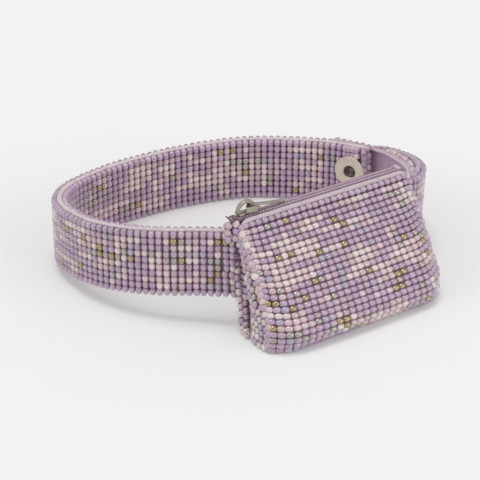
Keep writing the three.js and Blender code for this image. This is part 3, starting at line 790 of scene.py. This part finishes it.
def end_place(side, across, up, inset, depth, crease=folded):
    """A place on a sheet across the pouch's end, between its two walls."""
    bottom = depth + END_FIT
    height = bottom + (MOUTH_HEIGHT - depth - END_FIT - bottom) * up
    half = half_width(height, side)
    edge = 1 - inset / half
    sides = []
    for toward, gap in ((0, END_FIT), (1, -END_FIT)):
        row = wall_row(height, depth, toward)
        sides.append(section_point(row, depth).y + wall_shift(edge, row) + gap)
    fold = GUSSET_FOLD * math.sin(math.pi * (0.12 + 0.86 * up)) ** 1.2 * crease(across)
    return Vector((side * (half - inset - fold), sides[0] + (sides[1] - sides[0]) * across, height))


def gusset_beads(name, side, patch):
    chance = random.Random(patch)
    beads = []
    for row in range(GUSSET_ROWS):
        up = (row + 0.5) / GUSSET_ROWS
        wide = end_place(side, 1, up, 0, 0).y - end_place(side, 0, up, 0, 0).y
        count = max(2, round(wide / (2.75 * MM)))
        for column in range(count):
            across = (column + 0.5) / count
            color, metal = melange(column + 3 * row, row, patch, chance, STRAP_SPREAD)
            sway = Vector([chance.uniform(-0.2, 0.2) for _ in range(3)]) * MM
            centre = end_place(side, across, up, 0.1 * MM, 0, puffed) + sway
            centre.z = max(centre.z, BEAD_RADIUS)
            hole = Vector((chance.uniform(-0.3, 0.3), chance.uniform(-0.3, 0.3), 1))
            size = (chance.uniform(0.96, 1.08), chance.uniform(0.92, 1.02))
            beads.append((centre, hole, Vector((side, 0, 0)), size, color, metal))
    return string_beads(name, beads)


def corner_beads(name, side, patch):
    """Larger beads down the corner seams, two short lines over the end's top, and a knot at the left."""
    chance = random.Random(patch)
    beads = []
    lines = ((0.0, 0.43, 20, 0.0, 0.0), (0.0, 0.17, 7, 2.4, -1.0), (0.0, 0.12, 5, 4.8, -1.2),
             (0.6, 1.0, 17, 0.0, 0.0))
    for start, stop, count, behind, lower in lines:
        for step in range(count):
            row = section_rows * (start + (stop - start) * (step + 0.5) / count)
            point = wall_point(side, row, 0.4 * MM)
            _, facing = wall_facing(side * 0.97, row)
            point.x += side * (chance.uniform(-0.2, 0.5) - 0.4 * lower) * MM
            point += facing * chance.uniform(-0.2, 0.3) * MM
            point.y += behind * MM
            size = (chance.uniform(0.98, 1.14), chance.uniform(0.95, 1.12))
            point.z = max(point.z, BEAD_RADIUS * size[0])
            outward = (facing + Vector((side, 0, 0))).normalized()
            hole = Vector((chance.uniform(-0.5, 0.5), chance.uniform(-0.5, 0.5), 1))
            hole = (hole - outward * hole.dot(outward)).normalized() + outward * chance.uniform(-0.2, 0.2)
            draw = chance.random()
            color = chance.choice(LILACS if draw < 0.6 else PINKS if draw < 0.8 else CREAMS)
            beads.append((point, hole, outward.orthogonal(), size, color, 0.0))
    if side < 0:
        for place in KNOT_BEADS:
            hole = Vector((chance.uniform(-0.6, 0.6), chance.uniform(-0.6, 0.6), 1))
            size = (chance.uniform(1.0, 1.14), chance.uniform(0.95, 1.1))
            color = chance.choice(chance.choice((LILACS, LILACS, PINKS)))
            beads.append((Vector(place) * MM, hole, Vector((-1, 0, 0)), size, color, 0.0))
    return string_beads(name, beads)


for side, end in ((-1, "left"), (1, "right")):
    dress(gusset_beads(f"{end}_gusset_beads", side, 41 + side), bead_material, ROOT, "beads", f"{end}_gusset")
    ground = cloth(
        f"{end}_gusset_ground", 16, 16,
        lambda across, up, side=side: end_place(side, across, up, 1.4 * MM, 0.4 * MM, puffed), 0.8 * MM)
    dress(ground, core_cotton, ROOT, "lining", f"{end}_gusset")
    dress(corner_beads(f"{end}_corner_beads", side, 52 + side), bead_material, ROOT, "beads", "pouch_shell")


# Inner bag: thin mauve cotton down the front, over the base and up the back, with its two folded ends.
LINING = 0.5 * MM
LINING_OUTSIDE = 2.1 * MM
LINING_SIDE_GAP = 4.7 * MM


def bag_place(across, up):
    row = 1 + (section_rows - 2) * up
    side = 2 * across - 1
    half = half_width(section_point(row, 0).z, side)
    crease = 0.1 * MM * noise.noise(Vector((across * 9, up * 14, 4)))
    return wall_point(side * (1 - LINING_SIDE_GAP / half), row, LINING_OUTSIDE + LINING / 2 + crease)


inner_bag = cloth("inner_bag", 16, section_rows, bag_place, LINING * 0.8)
dress(inner_bag, lining_cotton, ROOT, "lining", "pouch_lining")
for side, end in ((-1, "left"), (1, "right")):
    bag_end = cloth(
        f"inner_bag_{end}_end", 8, 16,
        lambda across, up, side=side: end_place(
            side, across, up, LINING_SIDE_GAP + LINING * 1.5, LINING_OUTSIDE + LINING),
        LINING * 0.8)
    dress(bag_end, lining_cotton, ROOT, "lining", f"lining_{end}_end")


# Mouth: pale pink cotton binding folded over both upper edges, and the zip's woven tapes sewn in between.
# At the left the tapes run past the pouch and their ends stand up behind its corner.
ZIP_Y = (12.8 + 19.8) / 2 * MM


def binding(name, node, seed):
    low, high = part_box(node)

    def place(across, up):
        x = low[0] + (high[0] - low[0]) * across
        droop = 2.2 * MM * max(0, (0.045 - min(across, 1 - across)) / 0.045) ** 2
        wave = 0.12 * MM * noise.noise(Vector((across * 9, seed, 0)))
        lump = 0.14 * MM * noise.noise(Vector((across * 120, up * 3, seed)))
        turn = math.pi * 1.3 * (up - 0.5)
        y = (low[1] + high[1]) / 2 + wave + (0.6 * MM + lump) * math.sin(turn)
        height = low[2] + 0.4 * MM + (high[2] - low[2] - 0.75 * MM + lump) * math.cos(turn / 1.3)
        return Vector((x, y, height - droop))
    return cloth(name, 160, 8, place, 0.5 * MM)


dress(binding("front_binding_cloth", "front_binding", 1), binding_cotton, ROOT, "trim", "front_binding")
dress(binding("back_binding_cloth", "back_binding", 2), binding_cotton, ROOT, "trim", "back_binding")

tape_cotton = cotton("tape_cotton", (120, 94, 112), (88, 64, 82), 1800.0)
TAPE_TAIL = 0.7 * MM
TAPE_TURN = 1.2 * MM


def tape(name, outwards, binding_edge, height):
    """A zip tape from its binding to its coil, whose left end stands up past the pouch's end."""
    low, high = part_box("zip_tape_front" if outwards < 0 else "zip_tape_back")
    length = high[0] - low[0] + TAPE_TAIL

    def place(across, up):
        run = length * across
        x, lift = high[0] - run, 0.0
        bend = high[0] - low[0] - 1.6 * MM
        if run > bend:
            arc = min((run - bend) / TAPE_TURN, math.radians(55))
            past = max(0, run - bend - TAPE_TURN * math.radians(55))
            x = high[0] - bend - TAPE_TURN * math.sin(arc) - past * math.cos(arc)
            lift = TAPE_TURN * (1 - math.cos(arc)) + past * math.sin(arc)
        inner = 1.75 * MM if run < bend else 0.1 * MM
        y = ZIP_Y + outwards * (inner + (abs(binding_edge - ZIP_Y) - inner) * up)
        rise = 0.7 * MM * min(1, up * 2)
        return Vector((x, y, height - 0.7 * MM + rise * (1 if run < bend else 0.4) + lift))
    return cloth(name, 70, 4, place, 0.5 * MM)


dress(tape("zip_tape_front_cloth", -1, 13.7 * MM, 48.15 * MM), tape_cotton, ROOT, "lining", "zip_tape_front")
dress(tape("zip_tape_back_cloth", 1, 18.9 * MM, 48.0 * MM), tape_cotton, ROOT, "lining", "zip_tape_back")


# Zip coils: a mauve nylon monofilament wound in fine turns, one coil on each tape, stitched down.
COIL_PITCH = 1.25 * MM
COIL_NEAR = 0.16 * MM
COIL_FAR = 1.85 * MM
COIL_HEIGHTS = (47.4 * MM, 48.9 * MM)


def model_turn():
    """One turn of the coil: a ring of monofilament, flattened to the tape."""
    bpy.ops.object.select_all(action="DESELECT")
    bpy.ops.mesh.primitive_torus_add(
        major_segments=10, minor_segments=7, major_radius=0.4 * MM, minor_radius=0.42 * MM,
        rotation=(0, math.radians(90), 0))
    turn = bpy.context.object
    bpy.ops.object.transform_apply(location=True, rotation=True, scale=True)
    return turn


def nylon():
    paint = Paint("coil_nylon")
    cloud = paint.noise(900.0)
    paint.set(Base_Color=paint.blend(cloud, (*linear((214, 190, 204)), 1), (*linear((188, 158, 178)), 1)))
    paint.set(Roughness=0.34 + cloud * 0.2)
    return paint.material


coil_material = nylon()


def coil(name, node, outwards):
    low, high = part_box(node)
    turns = round((high[0] - low[0]) / COIL_PITCH)
    pitch = (high[0] - low[0]) / turns
    form = model_turn()
    copies = []
    for turn in range(turns):
        copy = bpy.data.objects.new(name, form.data.copy())
        shape = Matrix.Diagonal((
            0.92, (COIL_FAR - COIL_NEAR) / (1.64 * MM), (COIL_HEIGHTS[1] - COIL_HEIGHTS[0]) / (1.64 * MM), 1))
        shape = Matrix.Rotation(math.radians(24), 4, "Z") @ shape
        middle = Vector((
            low[0] + pitch * (turn + 0.5), ZIP_Y + outwards * (COIL_NEAR + COIL_FAR) / 2,
            sum(COIL_HEIGHTS) / 2))
        copy.data.transform(Matrix.Translation(middle) @ shape)
        bpy.context.scene.collection.objects.link(copy)
        copies.append(copy)
    bpy.data.objects.remove(form)
    bpy.ops.object.select_all(action="DESELECT")
    for copy in copies:
        copy.select_set(True)
    bpy.context.view_layer.objects.active = copies[0]
    bpy.ops.object.join()
    piece = bpy.context.object
    piece.name = name
    bpy.ops.object.shade_smooth()
    return piece


dress(coil("zip_coil_front_turns", "zip_coil_front", -1), coil_material, ROOT, "coil", "zip_coil_front")
dress(coil("zip_coil_back_turns", "zip_coil_back", 1), coil_material, ROOT, "coil", "zip_coil_back")

# Stops: the coils' ends, oversewn in the tapes' dark plum cotton at the left and in pale thread at the right.
# Their solids are right as they are.
for name, material in (("top_stop", tape_cotton), ("bottom_stop", binding_cotton)):
    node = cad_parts[name]
    node.data.materials.clear()
    node.data.materials.append(material)


# Slider: a zinc casting, worn satin. Two plates joined by a neck hold the coils between them, with a narrow
# waist and a sill, and a grooved arch stands on top for the pull.
zip_metal = nickel("zip_metal", (180, 172, 159), 0.33)
SLIDER_REAR = -40.4 * MM
SLIDER_FRONT = -29.4 * MM
SLIDER_HALF = 2.0 * MM
TOP_PLATE = (49.3 * MM, 50.3 * MM)
LOWER_PLATE = (46.3 * MM, 47.0 * MM)
CROWN_X = -36.5 * MM
CROWN_RADIUS = 3.65 * MM
CROWN_LEG = 0.9 * MM


def block(name, low, high, soften):
    """A cast block between two corners, with its edges softened."""
    bpy.ops.object.select_all(action="DESELECT")
    bpy.ops.mesh.primitive_cube_add(size=1, location=(0, 0, 0))
    piece = bpy.context.object
    piece.name = name
    piece.scale = [high[axis] - low[axis] for axis in range(3)]
    piece.location = [(high[axis] + low[axis]) / 2 for axis in range(3)]
    bpy.ops.object.transform_apply(location=True, rotation=True, scale=True)
    edge = piece.modifiers.new("edge", "BEVEL")
    edge.width = soften
    edge.segments = 3
    bpy.ops.object.modifier_apply(modifier="edge")
    return piece


def united(name, pieces):
    """Cast pieces grown into one."""
    whole = pieces[0]
    for piece in pieces[1:]:
        bpy.ops.object.select_all(action="DESELECT")
        bpy.context.view_layer.objects.active = whole
        whole.select_set(True)
        merge = whole.modifiers.new("merge", "BOOLEAN")
        merge.operation = "UNION"
        merge.solver = "EXACT"
        merge.object = piece
        bpy.ops.object.modifier_apply(modifier="merge")
        bpy.data.objects.remove(piece)
    whole.name = name
    bpy.ops.object.shade_smooth_by_angle(angle=math.radians(40))
    return whole


def crown():
    """The arch: a grooved band bent over from plate to plate."""
    profile = [(-0.5, -0.75), (0.55, -0.75), (0.75, -0.5), (0.75, -0.2), (0.55, 0), (0.75, 0.2), (0.75, 0.5),
               (0.55, 0.75), (-0.5, 0.75)]
    bpy.ops.object.select_all(action="DESELECT")
    bpy.ops.mesh.primitive_circle_add(vertices=len(profile), radius=1, fill_type="NOTHING")
    arch = bpy.context.object
    for vertex, (outwards, sideways) in zip(arch.data.vertices, profile):
        vertex.co = ((-outwards) * MM - CROWN_RADIUS, sideways * MM, 0)
    bpy.ops.object.mode_set(mode="EDIT")
    bpy.ops.mesh.select_all(action="SELECT")
    bpy.ops.mesh.edge_face_add()
    bpy.ops.mesh.spin(steps=18, angle=math.pi, center=(0, 0, 0), axis=(0, 1, 0))
    bpy.ops.mesh.select_all(action="SELECT")
    bpy.ops.mesh.normals_make_consistent(inside=False)
    bpy.ops.object.mode_set(mode="OBJECT")
    if min(vertex.co.z for vertex in arch.data.vertices) < -MM:
        arch.data.transform(Matrix.Rotation(math.pi, 4, "Y"))
    for vertex in arch.data.vertices:
        if vertex.co.z < 0.01 * MM:
            vertex.co.z -= CROWN_LEG
    arch.data.transform(Matrix.Translation(Vector((CROWN_X, ZIP_Y, TOP_PLATE[1] + CROWN_LEG / 2))))
    return arch


def slider_body():
    top = block("slider_top", (SLIDER_REAR, ZIP_Y - SLIDER_HALF, TOP_PLATE[0]),
                (SLIDER_REAR + 2.4 * MM, ZIP_Y + SLIDER_HALF, TOP_PLATE[1]), 0.3 * MM)
    waist = block("slider_waist", (SLIDER_REAR + 1.5 * MM, ZIP_Y - 1.2 * MM, TOP_PLATE[0]),
                  (SLIDER_FRONT - 1.6 * MM, ZIP_Y + 1.2 * MM, TOP_PLATE[1] - 0.1 * MM), 0.25 * MM)
    lower = block("slider_lower", (SLIDER_REAR, ZIP_Y - 1.6 * MM, LOWER_PLATE[0]),
                  (SLIDER_FRONT, ZIP_Y + 1.6 * MM, LOWER_PLATE[1]), 0.2 * MM)
    neck = block("slider_neck", (SLIDER_REAR + 1.0 * MM, ZIP_Y - 0.12 * MM, LOWER_PLATE[1] - 0.3 * MM),
                 (SLIDER_REAR + 4.0 * MM, ZIP_Y + 0.12 * MM, TOP_PLATE[0] + 0.3 * MM), 0.04 * MM)
    sill = block("slider_sill", (CROWN_X - CROWN_RADIUS, ZIP_Y - 0.7 * MM, TOP_PLATE[1] - 0.1 * MM),
                 (CROWN_X + CROWN_RADIUS, ZIP_Y + 0.7 * MM, TOP_PLATE[1] + 0.35 * MM), 0.1 * MM)
    return united("slider_casting", [top, waist, lower, neck, sill, crown()])


dress(slider_body(), zip_metal, "slider", "zip_metal", "zip_slider")


# Pull: a zinc casting on the arch. Its thick eye goes round the arch and runs out into a slim squared bar.
PULL_PIVOT = Vector((-35.5, 16.3, 52.7)) * MM
PULL_DROOP = math.radians(9.5)


def pull_body():
    """The pull laid along X from its pivot, then tipped and set on the arch: a saddle whose two cheeks hang
    beside the slider, the far one shorter, open in the middle for the arch, and a bar."""
    cheeks = []
    for side, name, rear in ((-1, "near", -2.0), (1, "far", 1.2)):
        y0, y1 = sorted((side * 2.15 * MM, side * 2.65 * MM))
        low, high = (rear * MM, y0, -2.5 * MM), (3.6 * MM, y1, -0.1 * MM)
        cheeks.append(block(f"pull_cheek_{name}", low, high, 0.15 * MM))
    nose = block("pull_nose", (2.2 * MM, -2.5 * MM, -1.3 * MM), (4.8 * MM, 2.5 * MM, -0.1 * MM), 0.35 * MM)
    bar = block("pull_bar", (2.4 * MM, -0.85 * MM, -0.6 * MM), (17.5 * MM, 0.85 * MM, 0.2 * MM), 0.2 * MM)
    tip = block("pull_tip", (15.4 * MM, -0.95 * MM, -0.7 * MM), (17.5 * MM, 0.95 * MM, 0.3 * MM), 0.2 * MM)
    whole = united("pull_casting", [nose, *cheeks, bar, tip])
    tipped = Matrix.Rotation(PULL_DROOP, 4, "Y")
    whole.data.transform(Matrix.Translation(PULL_PIVOT) @ tipped)
    return whole


dress(pull_body(), zip_metal, "pull", "zip_metal", "zip_pull")


# Table, light and camera, as in the photograph's plain studio.
def studio_surface(name, color, seen):
    """Pale paper that keeps the object's shadow, brighter to the camera and in reflections than it lights."""
    paint = Paint(name)
    grain = paint.noise(40.0)
    darker = [value - 1 for value in color]
    paint.set(Base_Color=paint.blend(grain, (*linear(color), 1), (*linear(darker), 1)))
    paint.set(Roughness=0.9)
    paint.shader.inputs["Specular IOR Level"].default_value = 0.1
    rays = paint.node("ShaderNodeLightPath")
    direct = (rays["Is Camera Ray"] + rays["Is Glossy Ray"] + rays["Is Transmission Ray"]) * seen
    glow = paint.tree.nodes.new("ShaderNodeEmission")
    glow.inputs["Color"].default_value = (*linear((240, 240, 240)), 1)
    mixed = paint.tree.nodes.new("ShaderNodeMixShader")
    paint.join(direct, mixed.inputs[0])
    paint.tree.links.new(paint.shader.outputs["BSDF"], mixed.inputs[1])
    paint.tree.links.new(glow.outputs["Emission"], mixed.inputs[2])
    result = next(node for node in paint.tree.nodes if node.type == "OUTPUT_MATERIAL")
    paint.tree.links.new(mixed.outputs["Shader"], result.inputs["Surface"])
    return paint.material


bpy.ops.object.select_all(action="DESELECT")
bpy.ops.mesh.primitive_plane_add(size=8)
floor = bpy.context.object
floor.name = "paper_floor"
floor.data.materials.append(studio_surface("paper", (242, 242, 241), 0.15))

world = bpy.data.worlds.new("studio")
bpy.context.scene.world = world
world.use_nodes = True
sky = world.node_tree.nodes["Background"]
sky.inputs["Color"].default_value = (*linear((255, 255, 255)), 1)
sky.inputs["Strength"].default_value = 0.57

for name, energy, spread, toward in (
        ("overhead", 0.95, 24, (-0.1, 0.05, 1.0)), ("left", 0.5, 40, (-1.0, 0.1, 0.5)),
        ("front", 0.9, 50, (0.45, -1.0, 0.3))):
    lamp = bpy.data.lights.new(name, "SUN")
    lamp.energy = energy
    lamp.angle = math.radians(spread)
    stand = bpy.data.objects.new(name, lamp)
    bpy.context.scene.collection.objects.link(stand)
    stand.rotation_euler = Vector(toward).to_track_quat("Z", "Y").to_euler()

CAMERA_PLACE = (-386.026, -503.853, 377.4)
CAMERA_AIM = (-10.589, 59.110, 10.0)
LENS = 134.6
lens = bpy.data.cameras.new("camera")
lens.lens = LENS
lens.sensor_width = 36
lens.clip_start = 0.01
camera = bpy.data.objects.new("camera", lens)
bpy.context.scene.collection.objects.link(camera)
camera.location = Vector(CAMERA_PLACE) * MM
camera.rotation_euler = (Vector(CAMERA_AIM) - Vector(CAMERA_PLACE)).to_track_quat("-Z", "Y").to_euler()
bpy.context.scene.camera = camera
bpy.context.scene.view_settings.view_transform = "Standard"
